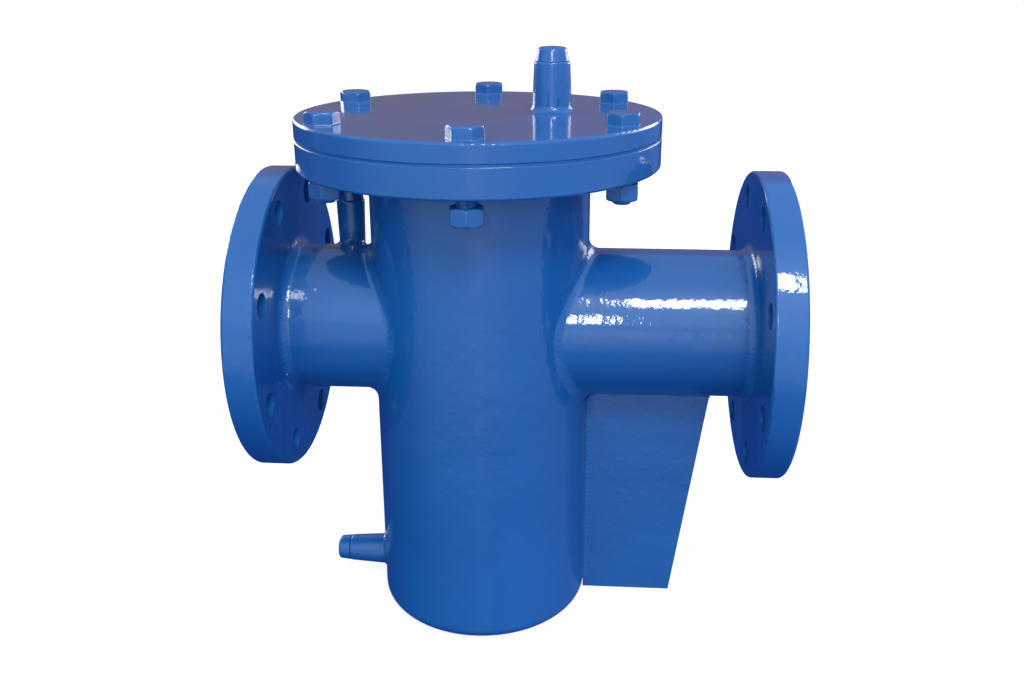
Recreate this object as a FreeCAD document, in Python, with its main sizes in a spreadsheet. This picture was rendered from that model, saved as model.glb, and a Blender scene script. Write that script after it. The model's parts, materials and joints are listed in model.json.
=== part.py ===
import FreeCAD, Part
import math
import os

import Sketcher

# A welded basket strainer: a vertical body pipe with a flat bottom, two flanged branches on one
# line, a bolted cover and a lift-out basket on an inclined seat plate.
# The frame: origin on the body axis at the underside of the bottom plate, +Z up, +X from the
# inlet to the outlet.

Vector = FreeCAD.Vector
Rotation = FreeCAD.Rotation
Z_AXIS = Vector(0, 0, 1)
Y_AXIS = Vector(0, 1, 0)
X_AXIS = Vector(1, 0, 0)

# The turn of each bolt head and nut as it was tightened, from the front bolt round.
HEAD_TURNS = (-1, 22, 28, 30, -5, 15)
NUT_TURNS = (37, 28, 0, 20, 40, 27)

# alias, value in millimetres or degrees, what it is
DIMENSIONS = [
    ("body_od", 168.3, "outside diameter of the body pipe"),
    ("body_wall", 7.1, "wall of the body pipe"),
    ("body_top", 381, "height of the upper end of the body pipe"),
    ("bottom_thick", 14, "thickness of the bottom plate"),
    ("bottom_round", 10, "radius on the lower edge of the bottom plate"),
    ("cover_od", 272, "diameter of the cover and of the body ring"),
    ("ring_base", 365, "height of the underside of the body ring"),
    ("ring_thick", 22, "thickness of the body ring"),
    ("ring_bore", 169.3, "bore of the body ring, which slips over the body pipe"),
    ("gasket_thick", 1.5, "thickness of the cover gasket"),
    ("gasket_od", 270, "outside diameter of the full-face cover gasket"),
    ("gasket_bore", 172, "bore of the cover gasket"),
    ("cover_thick", 14, "thickness of the cover"),
    ("edge_round", 2, "radius on the outer edges of ring, cover and flanges"),
    ("seam_round", 0.8, "radius on the edges of ring and cover at their joint"),
    ("bolt_count", 6, "number of cover bolts"),
    ("bolt_circle", 240, "bolt circle of the cover"),
    ("bolt_hole", 16, "hole for a cover bolt"),
    ("bolt_turn", 2, "angle from the front to the first bolt"),
    ("bolt_size", 14, "diameter of a cover bolt"),
    ("bolt_length", 55, "length of a cover bolt under its head"),
    ("hex_flats", 22, "width across flats of bolt heads and nuts"),
    ("head_height", 9, "height of a bolt head"),
    ("nut_height", 13, "height of a nut"),
    ("nut_bore", 14.1, "bore of a nut"),
    ("nut_gap", 2, "gap between the body ring and a nut, which are hand tight"),
    ("nut_backed_off", 6, "gap over the front nut, which is backed off"),
    ("pipe_height", 240, "height of the branch axis"),
    ("pipe_od", 114.3, "outside diameter of a branch pipe"),
    ("pipe_wall", 6.3, "wall of a branch pipe"),
    ("inlet_reach", 171.5, "body axis to the inlet face"),
    ("outlet_reach", 234, "body axis to the outlet face"),
    ("pipe_setback", 7, "flange face to the end of the branch pipe"),
    ("flange_od", 237, "diameter of a pipe flange"),
    ("flange_thick", 26, "thickness of a pipe flange with its raised face"),
    ("flange_bore", 116, "bore of a pipe flange"),
    ("face_od", 162, "diameter of the raised face"),
    ("face_height", 3, "height of the raised face"),
    ("flange_circle", 200, "bolt circle of a pipe flange"),
    ("flange_holes", 8, "number of bolt holes in a pipe flange"),
    ("flange_hole", 19, "diameter of a flange bolt hole"),
    ("saddle_weld", 10, "radius of the weld between a branch and the body"),
    ("flange_weld", 8, "radius of the weld behind a flange"),
    ("ring_weld_size", 6, "radius of the weld under the body ring"),
    ("stub_weld", 4, "radius of the weld round a stub"),
    ("plate_weld", 5, "radius of the welds of the support plate"),
    ("plate_thick", 10, "thickness of the support plate"),
    ("plate_snipe", 10.6, "corner cut off the support plate to clear the branch weld"),
    ("plate_top_reach", 182.5, "body axis to the upper corner of the support plate"),
    ("plate_foot_reach", 156.5, "body axis to the lower corner of the support plate"),
    ("seat_slope", 40, "slope of the basket seat, rising towards the outlet"),
    ("seat_od", 153.9, "diameter of the seat plate seen from above"),
    ("seat_hole", 116, "hole in the seat plate seen from above"),
    ("seat_thick", 6, "thickness of the seat plate"),
    ("rim_gap", 0.2, "gap between seat plate and basket rim"),
    ("rim_od", 140, "diameter of the basket rim seen from above"),
    ("rim_thick", 5, "thickness of the basket rim"),
    ("basket_od", 112, "outside diameter of the basket"),
    ("basket_wall", 1.5, "wall of the basket"),
    ("basket_base", 45, "height of the underside of the basket"),
    ("floor_thick", 2, "thickness of the basket floor"),
    ("liner_wall", 0.8, "thickness of the mesh sleeve"),
    ("liner_gap", 0.2, "gap between mesh sleeve and basket"),
    ("hole_size", 9, "diameter of a basket hole"),
    ("hole_rows", 9, "rows of holes round the basket"),
    ("holes_per_row", 20, "holes in a row"),
    ("row_pitch", 13.5, "distance between rows"),
    ("row_start", 58, "height of the lowest row"),
    ("bail_height", 260, "height of the pivot of the basket handle"),
    ("bail_radius", 55, "radius of the basket handle"),
    ("bail_rod", 6, "rod diameter of the basket handle"),
    ("bail_fold", 134, "angle by which the handle is folded down from upright"),
    ("bail_pin_end", 67, "body axis to the outer end of a handle pin"),
    ("lug_inner", 60.5, "body axis to the inner side of a lug"),
    ("lug_thick", 4, "thickness of a lug"),
    ("lug_width", 16, "width of a lug"),
    ("lug_hole", 6.2, "pivot hole in a lug"),
    ("vent_across", 54, "distance of the vent from the body axis along X"),
    ("vent_back", 13, "distance of the vent from the body axis along Y"),
    ("vent_od", 26.9, "outside diameter of the vent stub at its end"),
    ("vent_root", 30, "outside diameter of the vent stub at the cover"),
    ("vent_bore", 20.5, "bore of the vent stub"),
    ("vent_height", 37, "height of the vent stub above the cover"),
    ("vent_head", 25, "diameter of the vent plug's head at its base"),
    ("vent_crown", 21, "diameter of the vent plug's head at its top"),
    ("stub_bore", 16.1, "bore of the drain and gauge stubs"),
    ("drain_od", 21.3, "outside diameter of the drain stub at its end"),
    ("drain_root", 26, "outside diameter of the drain stub at the body"),
    ("gauge_od", 22.6, "outside diameter of the gauge stub at its end"),
    ("gauge_root", 19, "outside diameter of the gauge stub at the branch"),
    ("plug_head", 20.8, "diameter of the drain and gauge plugs' heads at their base"),
    ("plug_crown", 19, "diameter of the drain and gauge plugs' heads at their top"),
    ("head_thick", 10, "height of a plug head"),
    ("head_round", 3, "radius on a plug head"),
    ("thread_length", 14, "length of a plug's thread"),
    ("thread_play", 0.05, "radial play of a plug's thread in its stub"),
    ("socket_flats", 8, "width across flats of the socket in a plug"),
    ("socket_depth", 6, "depth of the socket in a plug"),
    ("drain_height", 27, "height of the drain axis"),
    ("drain_reach", 116, "body axis to the end of the drain stub"),
    ("gauge_across", 107, "distance of the gauge stub from the body axis"),
    ("gauge_back", 26, "distance of the gauge stub behind the branch axis"),
    ("gauge_base", 21, "branch axis to the inner end of the gauge stub, before its saddle cut"),
    ("gauge_top", 90, "branch axis to the end of the gauge stub"),
]

doc = FreeCAD.newDocument("BasketStrainer")
sheet = doc.addObject("Spreadsheet::Sheet", "Dims")
parts = []


def fill_sheet():
    for row, (alias, value, meaning) in enumerate(DIMENSIONS, start=1):
        sheet.set(f"A{row}", alias)
        sheet.set(f"B{row}", str(value))
        sheet.set(f"C{row}", meaning)
        sheet.setAlias(f"B{row}", alias)
    doc.recompute()


def size(alias):
    """One number from the sheet."""
    return float(getattr(sheet, alias))


def evaluate(expression):
    return float(sheet.evalExpression(str(expression)))


def full(expression):
    """The expression as another object has to write it, with Dims before each alias."""
    words = str(expression)
    for alias, _, _ in DIMENSIONS:
        words = words.replace(f"<{alias}>", f"Dims.{alias}")
    return words


# ---- building blocks -------------------------------------------------------------------------


def new_body(label, base=("0", "0", "0"), rotation=None):
    """A PartDesign body whose placement follows the sheet."""
    body = doc.addObject("PartDesign::Body", label)
    body.Label = label
    place = [evaluate(full(word)) for word in base]
    body.Placement = FreeCAD.Placement(Vector(*place), rotation or Rotation())
    for letter, word in zip("xyz", base):
        body.setExpression(f"Placement.Base.{letter}", full(word))
    parts.append(body)
    return body


def plane_of(body, role):
    return next(item for item in body.Origin.OriginFeatures if item.Role == role)


def new_sketch(body, role, name):
    sketch = body.newObject("Sketcher::SketchObject", name)
    sketch.AttachmentSupport = (plane_of(body, role), [""])
    sketch.MapMode = "FlatFace"
    return sketch


def bind_point(sketch, geometry, position, point):
    """Ties one sketch point to two expressions, measured from the sketch's origin."""
    for kind, axis, word in (("DistanceX", -2, point[0]), ("DistanceY", -1, point[1])):
        value = evaluate(full(word))
        if abs(value) < 1e-9:
            sketch.addConstraint(Sketcher.Constraint("PointOnObject", geometry, position, axis))
            continue
        index = sketch.addConstraint(Sketcher.Constraint(kind, geometry, position, value))
        sketch.setExpression(f"Constraints[{index}]", full(word))


def draw_outline(sketch, points):
    """A closed outline of straight lines through points given as pairs of expressions."""
    count = len(points)
    corners = [Vector(evaluate(full(x)), evaluate(full(y)), 0) for x, y in points]
    first = sketch.GeometryCount
    for index in range(count):
        sketch.addGeometry(Part.LineSegment(corners[index], corners[(index + 1) % count]), False)
    for index in range(count):
        following = first + (index + 1) % count
        sketch.addConstraint(Sketcher.Constraint("Coincident", first + index, 2, following, 1))
    for index, point in enumerate(points):
        bind_point(sketch, first + index, 1, point)


def draw_circle(sketch, centre, diameter):
    middle = Vector(evaluate(full(centre[0])), evaluate(full(centre[1])), 0)
    radius = evaluate(full(diameter)) / 2
    index = sketch.addGeometry(Part.Circle(middle, Z_AXIS, radius), False)
    bind_point(sketch, index, 3, centre)
    row = sketch.addConstraint(Sketcher.Constraint("Diameter", index, radius * 2))
    sketch.setExpression(f"Constraints[{row}]", full(diameter))


def revolve(body, points, name="Turned"):
    """Turns an outline in the XZ plane about the body's own Z axis."""
    sketch = new_sketch(body, "XZ_Plane", f"{name}Outline")
    draw_outline(sketch, points)
    feature = body.newObject("PartDesign::Revolution", name)
    feature.Profile = sketch
    feature.ReferenceAxis = (sketch, ["V_Axis"])
    feature.Angle = 360
    doc.recompute()
    return feature


def pad(body, role, draw, length, name="Plate"):
    """A pad that is symmetric about its sketch plane."""
    sketch = new_sketch(body, role, f"{name}Outline")
    draw(sketch)
    feature = body.newObject("PartDesign::Pad", name)
    feature.Profile = sketch
    feature.SideType = "Symmetric"
    feature.Length = evaluate(full(length))
    feature.setExpression("Length", full(length))
    doc.recompute()
    return feature


def pocket(body, role, draw, name, length=None, reverse=False):
    """A cut through everything on both sides, or to one side only where length is given."""
    before = body.Shape.Volume
    sketch = new_sketch(body, role, f"{name}Outline")
    draw(sketch)
    feature = body.newObject("PartDesign::Pocket", name)
    feature.Profile = sketch
    if length is None:
        feature.Type = "ThroughAll"
        feature.SideType = "Symmetric"
    else:
        feature.Type = "Length"
        feature.Length = evaluate(full(length))
        feature.setExpression("Length", full(length))
        feature.Reversed = reverse
    doc.recompute()
    if not body.Shape.Volume < before - 1:
        raise ValueError(f"{body.Label}: {name} removes nothing")
    return feature


def hole(body, role, centre, diameter, name, length=None, reverse=False):
    return pocket(body, role, lambda sketch: draw_circle(sketch, centre, diameter),
                  name, length, reverse)


def repeat_round(body, feature, count):
    """Copies a feature round the body's Z axis."""
    before = body.Shape.Volume
    pattern = body.newObject("PartDesign::PolarPattern", f"{feature.Name}Ring")
    pattern.Originals = [feature]
    pattern.Axis = (plane_of(body, "Z_Axis"), [""])
    pattern.Angle = 360
    pattern.Occurrences = int(evaluate(full(count)))
    pattern.setExpression("Occurrences", full(count))
    body.Tip = pattern
    doc.recompute()
    if not body.Shape.Volume < before - 1:
        raise ValueError(f"{body.Label}: the pattern of {feature.Name} removes nothing")


def round_edges(body, feature, radius, wanted):
    """Fillets the edges of a feature that the test picks."""
    names = [f"Edge{number}" for number, edge in enumerate(feature.Shape.Edges, start=1)
             if wanted(edge)]
    fillet = body.newObject("PartDesign::Fillet", f"{feature.Name}Rounds")
    fillet.Base = (feature, names)
    fillet.Radius = evaluate(full(radius))
    fillet.setExpression("Radius", full(radius))
    doc.recompute()
    return fillet


def ring_edge(radius, *heights):
    """A test for circular edges about Z with this radius at one of these heights."""
    def wanted(edge):
        curve = edge.Curve
        return (isinstance(curve, Part.Circle) and abs(curve.Radius - radius) < 1e-4
                and any(abs(curve.Center.z - height) < 1e-4 for height in heights))
    return wanted


def add_shape(label, shape):
    """A sub-part whose shape is worked out here from the sheet's sizes."""
    feature = doc.addObject("Part::Feature", label)
    feature.Label = label
    feature.Shape = shape
    feature.Placement = shape.Placement
    parts.append(feature)
    return feature


def hexagon_prism(flats, height, base_z, turn):
    radius = flats / math.sqrt(3)
    corners = [Vector(radius * math.cos(math.radians(turn + 60 * side)),
                      radius * math.sin(math.radians(turn + 60 * side)), base_z)
               for side in range(7)]
    return Part.Face(Part.makePolygon(corners)).extrude(Z_AXIS * height)


# ---- body ------------------------------------------------------------------------------------

BORE = "<body_od> - 2 * <body_wall>"
PIPE_BORE = "<pipe_od> - 2 * <pipe_wall>"
COVER_BASE = "<ring_base> + <ring_thick> + <gasket_thick>"
OUTWARD_TURN = {"inlet": Rotation(Y_AXIS, -90), "outlet": Rotation(Y_AXIS, 90)}


def make_body_shell():
    body = new_body("body_shell")
    inner, outer = "<body_od> / 2 - <body_wall>", "<body_od> / 2"
    revolve(body, [(inner, "<bottom_thick>"), (outer, "<bottom_thick>"),
                   (outer, "<body_top>"), (inner, "<body_top>")])
    hole(body, "YZ_Plane", ("0", "<pipe_height>"), PIPE_BORE, "BranchHoles")
    hole(body, "YZ_Plane", ("0", "<drain_height>"), "<stub_bore>", "DrainHole",
         "<body_od>", reverse=False)


def make_bottom_plate():
    body = new_body("bottom_plate")
    turned = revolve(body, [("0", "0"), ("<body_od> / 2", "0"),
                            ("<body_od> / 2", "<bottom_thick>"), ("0", "<bottom_thick>")])
    round_edges(body, turned, "<bottom_round>", ring_edge(size("body_od") / 2, 0))


def make_body_ring():
    body = new_body("body_ring", ("0", "0", "<ring_base>"), Rotation(Z_AXIS, size("bolt_turn")))
    inner, outer = "<ring_bore> / 2", "<cover_od> / 2"
    turned = revolve(body, [(inner, "0"), (outer, "0"), (outer, "<ring_thick>"),
                            (inner, "<ring_thick>")])
    lower = round_edges(body, turned, "<edge_round>", ring_edge(size("cover_od") / 2, 0))
    round_edges(body, lower, "<seam_round>", ring_edge(size("cover_od") / 2, size("ring_thick")))
    first = hole(body, "XY_Plane", ("0", "-<bolt_circle> / 2"), "<bolt_hole>", "BoltHole")
    repeat_round(body, first, "<bolt_count>")


def make_branch(side):
    """A branch pipe, drawn along its own Z axis, with a saddle cut to the body pipe."""
    body = new_body(f"{side}_branch", ("0", "0", "<pipe_height>"), OUTWARD_TURN[side])
    inner, outer = "<pipe_od> / 2 - <pipe_wall>", "<pipe_od> / 2"
    start, end = "<pipe_od> / 2 - <pipe_wall>", f"<{side}_reach> - <pipe_setback>"
    revolve(body, [(inner, start), (outer, start), (outer, end), (inner, end)])
    hole(body, "YZ_Plane", ("0", "0"), "<body_od>", "Saddle")
    if side == "inlet":
        hole(body, "YZ_Plane", ("<gauge_back>", "<gauge_across>"), "<stub_bore>", "GaugeHole",
             "<pipe_od>", reverse=True)


def make_flange(side):
    """A slip-on plate flange with a raised face; its holes straddle the centre lines."""
    body = new_body(f"{side}_flange", ("0", "0", "<pipe_height>"), OUTWARD_TURN[side])
    reach = f"<{side}_reach>"
    back, rim = f"{reach} - <flange_thick>", f"{reach} - <face_height>"
    inner, face, outer = "<flange_bore> / 2", "<face_od> / 2", "<flange_od> / 2"
    turned = revolve(body, [(inner, back), (outer, back), (outer, rim), (face, rim),
                            (face, reach), (inner, reach)])
    heights = [evaluate(full(back)), evaluate(full(rim))]
    round_edges(body, turned, "<edge_round>", ring_edge(size("flange_od") / 2, *heights))
    half_step = "180 / <flange_holes>"
    centre = (f"<flange_circle> / 2 * cos({half_step})", f"<flange_circle> / 2 * sin({half_step})")
    first = hole(body, "XY_Plane", centre, "<flange_hole>", "BoltHole")
    repeat_round(body, first, "<flange_holes>")


def make_support_plate():
    body = new_body("support_plate")
    corners = [("<body_od> / 2 - <body_wall>", "0"), ("<plate_foot_reach>", "0"),
               ("<plate_top_reach>", "<pipe_height> - <pipe_od> / 2"),
               ("<plate_top_reach>", "<pipe_height>"),
               ("<body_od> / 2 - <body_wall>", "<pipe_height>")]
    pad(body, "XZ_Plane", lambda sketch: draw_outline(sketch, corners), "<plate_thick>")
    hole(body, "XY_Plane", ("0", "0"), "<body_od>", "BodyCut")
    hole(body, "YZ_Plane", ("0", "<pipe_height>"), "<pipe_od>", "PipeCut")
    wall, ceiling = "<body_od> / 2", "<pipe_height> - <pipe_od> / 2"
    snipe = [(f"{wall} - 1", f"{ceiling} - <plate_snipe> - 1"), (f"{wall} - 1", f"{ceiling} + 1"),
             (f"{wall} + <plate_snipe> + 1", f"{ceiling} + 1")]
    pocket(body, "XZ_Plane", lambda sketch: draw_outline(sketch, snipe), "Snipe")


# ---- cover -----------------------------------------------------------------------------------


def make_cover_plate():
    body = new_body("cover_plate", ("0", "0", COVER_BASE), Rotation(Z_AXIS, size("bolt_turn")))
    turned = revolve(body, [("0", "0"), ("<cover_od> / 2", "0"),
                            ("<cover_od> / 2", "<cover_thick>"), ("0", "<cover_thick>")])
    upper = round_edges(body, turned, "<edge_round>",
                        ring_edge(size("cover_od") / 2, size("cover_thick")))
    round_edges(body, upper, "<seam_round>", ring_edge(size("cover_od") / 2, 0))
    first = hole(body, "XY_Plane", ("0", "-<bolt_circle> / 2"), "<bolt_hole>", "BoltHole")
    repeat_round(body, first, "<bolt_count>")
    turned_back = ("<vent_across> * cos(<bolt_turn>) + <vent_back> * sin(<bolt_turn>)",
                   "<vent_back> * cos(<bolt_turn>) - <vent_across> * sin(<bolt_turn>)")
    hole(body, "XY_Plane", turned_back, "<vent_bore>", "VentHole")


def make_cover_gasket():
    body = new_body("cover_gasket", ("0", "0", "<ring_base> + <ring_thick>"),
                    Rotation(Z_AXIS, size("bolt_turn")))
    inner, outer = "<gasket_bore> / 2", "<gasket_od> / 2"
    revolve(body, [(inner, "0"), (outer, "0"), (outer, "<gasket_thick>"),
                   (inner, "<gasket_thick>")])
    first = hole(body, "XY_Plane", ("0", "-<bolt_circle> / 2"), "<bolt_hole>", "BoltHole")
    repeat_round(body, first, "<bolt_count>")


def bolt_angles():
    """The place of each cover bolt round the body axis, from the front one."""
    step = 360 / size("bolt_count")
    return [270 + size("bolt_turn") + step * number for number in range(int(size("bolt_count")))]


def at_bolt(shape, angle, height):
    radius = size("bolt_circle") / 2
    moved = shape.copy()
    moved.translate(Vector(radius * math.cos(math.radians(angle)),
                           radius * math.sin(math.radians(angle)), height))
    return moved


def chamfered_hexagon(height, turn, bevel_top, bevel_base):
    """A hexagon prism with the turned bevels of bolt heads and nuts."""
    flats = size("hex_flats")
    corner = flats / math.sqrt(3)
    bevel = (corner - flats * 0.48) * math.tan(math.radians(30))
    prism = hexagon_prism(flats, height, 0, turn)
    outline = [Vector(0, 0, 0)]
    outline += [Vector(flats * 0.48, 0, 0), Vector(corner, 0, bevel)] if bevel_base \
        else [Vector(corner, 0, 0)]
    outline += [Vector(corner, 0, height - bevel), Vector(flats * 0.48, 0, height)] if bevel_top \
        else [Vector(corner, 0, height)]
    outline += [Vector(0, 0, height), Vector(0, 0, 0)]
    envelope = Part.Face(Part.makePolygon(outline)).revolve(Vector(), Z_AXIS, 360)
    return prism.common(envelope)


def make_cover_bolts():
    cover_top = evaluate(full(COVER_BASE)) + size("cover_thick")
    radius, length = size("bolt_size") / 2, size("bolt_length")
    point = radius / 6
    shank = Part.makeCylinder(radius, length - point, Vector(0, 0, -length + point))
    tip = Part.makeCone(radius - point, radius, point, Vector(0, 0, -length))
    bolts = []
    for angle, turn in zip(bolt_angles(), HEAD_TURNS):
        head = chamfered_hexagon(size("head_height"), turn, True, False)
        bolt = head.fuse([shank, tip]).removeSplitter()
        bolts.append(at_bolt(bolt, angle, cover_top))
    add_shape("cover_bolts", Part.makeCompound(bolts))


def make_cover_nuts():
    height = size("nut_height")
    bore = Part.makeCylinder(size("nut_bore") / 2, height)
    nuts = []
    for number, (angle, turn) in enumerate(zip(bolt_angles(), NUT_TURNS)):
        nut = chamfered_hexagon(height, turn, True, True).cut(bore)
        gap = size("nut_backed_off") if number == 0 else size("nut_gap")
        nuts.append(at_bolt(nut, angle, size("ring_base") - height - gap))
    add_shape("cover_nuts", Part.makeCompound(nuts))


# ---- stubs and plugs -------------------------------------------------------------------------


def make_vent_stub():
    top_of_cover = f"{COVER_BASE} + <cover_thick>"
    body = new_body("vent_stub", ("<vent_across>", "<vent_back>", top_of_cover))
    inner, outer = "<vent_bore> / 2", "<vent_od> / 2"
    turned = revolve(body, [(inner, "0"), ("<vent_root> / 2", "0"), (outer, "<vent_height>"),
                            (inner, "<vent_height>")])
    round_edges(body, turned, "<edge_round>",
                ring_edge(size("vent_od") / 2, size("vent_height")))


def make_drain_stub():
    body = new_body("drain_stub", ("0", "0", "<drain_height>"), OUTWARD_TURN["inlet"])
    inner, start = "<stub_bore> / 2", "<body_od> / 2 - <body_wall>"
    turned = revolve(body, [(inner, start), ("<drain_root> / 2", start),
                            ("<drain_od> / 2", "<drain_reach>"), (inner, "<drain_reach>")])
    round_edges(body, turned, "<edge_round>",
                ring_edge(size("drain_od") / 2, size("drain_reach")))
    hole(body, "YZ_Plane", ("0", "0"), "<body_od>", "Saddle")


def make_gauge_stub():
    body = new_body("gauge_stub", ("-<gauge_across>", "<gauge_back>", "<pipe_height>"))
    inner = "<stub_bore> / 2"
    turned = revolve(body, [(inner, "<gauge_base>"), ("<gauge_root> / 2", "<gauge_base>"),
                            ("<gauge_od> / 2", "<gauge_top>"), (inner, "<gauge_top>")])
    round_edges(body, turned, "<edge_round>",
                ring_edge(size("gauge_od") / 2, size("gauge_top")))
    hole(body, "YZ_Plane", ("-<gauge_back>", "0"), "<pipe_od>", "Saddle")


def make_plug(label, base, rotation, head, crown, bore):
    """A round headed plug along its own Z axis: its head rests on the stub's end at Z 0."""
    body = new_body(label, base, rotation)
    thread = f"{bore} / 2 - <thread_play>"
    turned = revolve(body, [("0", "-<thread_length>"), (thread, "-<thread_length>"),
                            (thread, "0"), (f"{head} / 2", "0"), (f"{crown} / 2", "<head_thick>"),
                            ("0", "<head_thick>")])
    rounded = round_edges(body, turned, "<head_round>",
                          ring_edge(evaluate(full(crown)) / 2, size("head_thick")))
    corner = "<socket_flats> / sqrt(3)"
    points = [(f"{corner} * cos({60 * side + 30})", f"{corner} * sin({60 * side + 30})")
              for side in range(6)]
    socket_sketch = new_sketch(body, "XY_Plane", "SocketOutline")
    socket_sketch.AttachmentOffset = FreeCAD.Placement(Vector(0, 0, size("head_thick")), Rotation())
    socket_sketch.setExpression("AttachmentOffset.Base.z", full("<head_thick>"))
    draw_outline(socket_sketch, points)
    before = rounded.Shape.Volume
    socket = body.newObject("PartDesign::Pocket", "Socket")
    socket.Profile = socket_sketch
    socket.Type = "Length"
    socket.setExpression("Length", full("<socket_depth>"))
    doc.recompute()
    if not body.Shape.Volume < before - 1:
        raise ValueError(f"{label}: the socket removes nothing")


def make_plugs():
    vent_top = f"{COVER_BASE} + <cover_thick> + <vent_height>"
    make_plug("vent_plug", ("<vent_across>", "<vent_back>", vent_top), None,
              "<vent_head>", "<vent_crown>", "<vent_bore>")
    make_plug("drain_plug", ("-<drain_reach>", "0", "<drain_height>"), OUTWARD_TURN["inlet"],
              "<plug_head>", "<plug_crown>", "<stub_bore>")
    make_plug("gauge_plug", ("-<gauge_across>", "<gauge_back>", "<pipe_height> + <gauge_top>"),
              None, "<plug_head>", "<plug_crown>", "<stub_bore>")


# ---- seat and basket -------------------------------------------------------------------------


def make_slanted_ring(label, outer, inner, lift, thick):
    """A flat ring on the seat slope: round when seen from above, lift is measured square to it."""
    body = new_body(label, ("0", "0", "<pipe_height>"))
    slope, reach = "<seat_slope>", "<body_od> / 2"
    low, high = f"{lift} / cos({slope})", f"({lift} + {thick}) / cos({slope})"
    rise = f"{reach} * tan({slope})"
    corners = [(f"-({reach})", f"{low} - {rise}"), (reach, f"{low} + {rise}"),
               (reach, f"{high} + {rise}"), (f"-({reach})", f"{high} - {rise}")]
    pad(body, "XZ_Plane", lambda sketch: draw_outline(sketch, corners), "<cover_od>")

    def outside(sketch):
        far = "<cover_od>"
        draw_outline(sketch, [(f"-{far}", f"-{far}"), (far, f"-{far}"), (far, far),
                              (f"-{far}", far)])
        draw_circle(sketch, ("0", "0"), outer)

    pocket(body, "XY_Plane", outside, "Outside")
    hole(body, "XY_Plane", ("0", "0"), inner, "Opening")


def seat_cutter(lift):
    """A block that fills everything above the seat slope, lift square to it."""
    far = size("cover_od")
    block = Part.makeBox(2 * far, 2 * far, far, Vector(-far, -far, lift))
    block.rotate(Vector(), Y_AXIS, -size("seat_slope"))
    block.translate(Vector(0, 0, size("pipe_height")))
    return block


def tube(outer_radius, wall, base):
    height = size("body_top") - base
    outside = Part.makeCylinder(outer_radius, height, Vector(0, 0, base))
    return outside.cut(Part.makeCylinder(outer_radius - wall, height, Vector(0, 0, base)))


def basket_radius():
    return size("basket_od") / 2


def make_basket_shell():
    """The perforated cylinder, cut off along the seat slope at its upper end."""
    radius, per_row = basket_radius(), int(size("holes_per_row"))
    shell = tube(radius, size("basket_wall"), size("basket_base"))
    shell = shell.cut(seat_cutter(size("rim_gap")))
    drills = []
    for row in range(int(size("hole_rows"))):
        height = size("row_start") + row * size("row_pitch")
        for number in range(per_row):
            angle = math.radians(360 / per_row * (number + 0.5 * (row % 2)))
            outward = Vector(math.cos(angle), math.sin(angle), 0)
            start = outward * (radius * 0.9) + Vector(0, 0, height)
            drills.append(Part.makeCylinder(size("hole_size") / 2, radius * 0.2, start, outward))
    add_shape("basket_shell", shell.cut(Part.makeCompound(drills)))


def make_mesh_liner():
    outer = basket_radius() - size("basket_wall") - size("liner_gap")
    base = size("basket_base") + size("floor_thick")
    liner = tube(outer, size("liner_wall"), base).cut(seat_cutter(size("rim_gap")))
    add_shape("mesh_liner", liner)


def make_basket_floor():
    """A perforated disc inside the lower end of the basket: rings of holes round one hole."""
    radius, base = basket_radius() - size("basket_wall"), size("basket_base")
    disc = Part.makeCylinder(radius, size("floor_thick"), Vector(0, 0, base))
    drill = Part.makeCylinder(size("hole_size") / 2, size("floor_thick"), Vector(0, 0, base))
    drills = [drill]
    for ring in range(1, 4):
        for number in range(6 * ring):
            angle = math.radians(360 / (6 * ring) * number)
            moved = drill.copy()
            moved.translate(Vector(math.cos(angle), math.sin(angle), 0) * (ring * 15))
            drills.append(moved)
    add_shape("basket_floor", disc.cut(Part.makeCompound(drills)))


def make_bail_lugs():
    """Two upright ears on the rim that carry the handle's pins."""
    width, thick = size("lug_width"), size("lug_thick")
    pivot, axis_y = size("bail_height"), size("lug_inner")
    top_of_rim = size("rim_gap") + size("rim_thick")
    lugs = []
    for start in (axis_y, -axis_y - thick):
        block = Part.makeBox(width, thick, pivot - size("pipe_height"),
                             Vector(-width / 2, start, size("pipe_height")))
        head = Part.makeCylinder(width / 2, thick, Vector(0, start, pivot), Y_AXIS)
        bore = Part.makeCylinder(size("lug_hole") / 2, thick, Vector(0, start, pivot), Y_AXIS)
        ear = block.fuse(head).common(seat_cutter(top_of_rim)).cut(bore)
        lugs.append(ear.removeSplitter())
    add_shape("bail_lugs", Part.makeCompound(lugs))


def make_basket_bail():
    """A half round handle of bent rod, folded down on the inlet side."""
    rod, radius, pivot = size("bail_rod") / 2, size("bail_radius"), size("bail_height")
    arch = Part.Wire([Part.Arc(Vector(0, -radius, 0), Vector(0, 0, radius),
                               Vector(0, radius, 0)).toShape()])
    section = Part.Wire([Part.Circle(Vector(0, -radius, 0), Z_AXIS, rod).toShape()])
    bail = arch.makePipeShell([section], True, True)
    pin_length = size("bail_pin_end") - radius
    for side in (-1, 1):
        foot = Vector(0, side * radius, 0)
        bail = bail.fuse([Part.makeSphere(rod, foot),
                          Part.makeCylinder(rod, pin_length, foot, Y_AXIS * side)])
    bail = bail.removeSplitter()
    bail.rotate(Vector(), Y_AXIS, -size("bail_fold"))
    bail.translate(Vector(0, 0, pivot))
    add_shape("basket_bail", bail)


# ---- welds -----------------------------------------------------------------------------------


def weld_bead(first, second, radius, where=lambda point: True):
    """The bead that fills the inside corner between two solids with a hollow fillet."""
    joined = first.fuse(second)
    edges = []
    for edge in joined.Edges:
        middle = edge.valueAt((edge.FirstParameter + edge.LastParameter) / 2)
        spot = Part.Vertex(middle)
        touching = all(solid.Shells[0].distToShape(spot)[0] < 1e-3 for solid in (first, second))
        if touching and where(middle):
            edges.append(edge)
    filled = joined.makeFillet(radius, edges)
    return filled.cut([first, second])


def body_envelope():
    return Part.makeCylinder(size("body_od") / 2, size("body_top"))


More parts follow.
